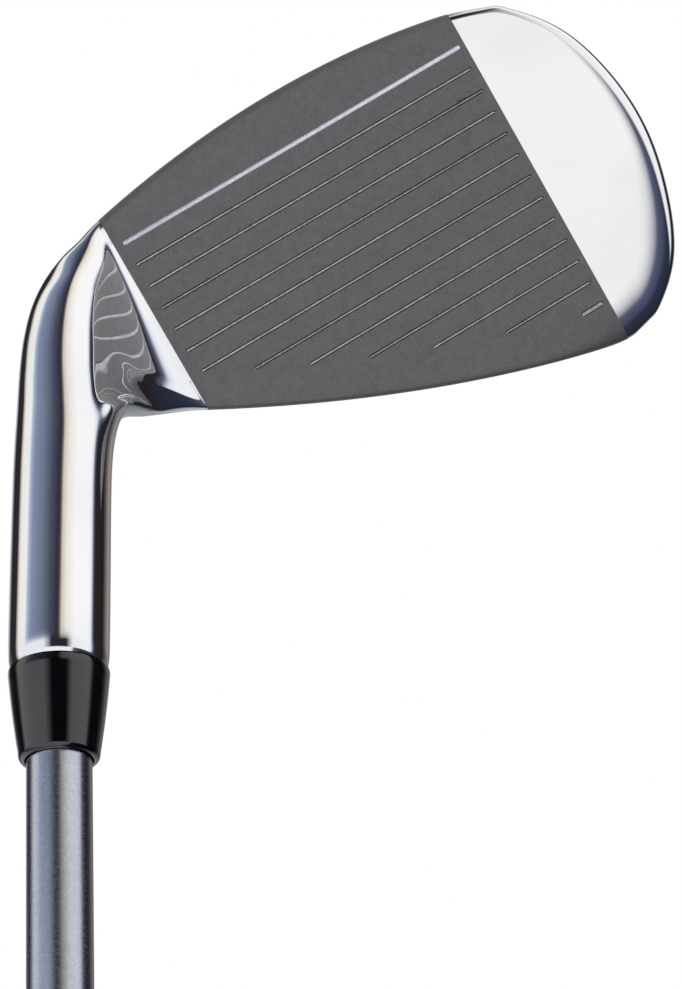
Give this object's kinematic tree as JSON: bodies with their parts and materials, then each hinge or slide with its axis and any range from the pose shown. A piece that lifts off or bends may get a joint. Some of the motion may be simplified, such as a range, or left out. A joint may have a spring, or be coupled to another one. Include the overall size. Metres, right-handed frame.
{
  "type": "iron golf club",
  "caption": "Right-handed mid iron: chromed cavity-back steel head with a grooved blasted face, black ferrule, satin steel shaft and rubber grip.",
  "frame": {"origin": "centre of the butt of the grip, on the shaft's axis", "axes": "+Z along the shaft's axis from the butt to the head; +X towards the toe; the striking face looks to -Y, leaning down by its loft"},
  "size_m": [0.1021, 0.0451, 0.9707],
  "materials": {
    "head_chrome": "mirror chrome, with a blasted grey striking face",
    "ferrule_black": "turned and polished black plastic",
    "shaft_satin": "fine satin blue-grey",
    "plug_brass": "turned",
    "epoxy": "cured adhesive",
    "grip_rubber": "matt textured rubber",
    "cap_rubber": "smooth hard rubber",
    "paper_tape": "double-sided paper tape",
    "badge_aluminium": "brushed, with a chamfered rim",
    "foam_tape": "dark acrylic foam",
    "damper_rubber": "soft elastomer"
  },
  "bodies": {
    "root": {"head_body": "head_chrome", "ferrule": "ferrule_black", "shaft": "shaft_satin", "tip_weight": "plug_brass", "hosel_epoxy": "epoxy", "grip": "grip_rubber", "grip_cap": "cap_rubber", "grip_tape": "paper_tape", "cavity_badge": "badge_aluminium", "badge_tape": "foam_tape", "cavity_damper": "damper_rubber"}
  },
  "joints": []
}
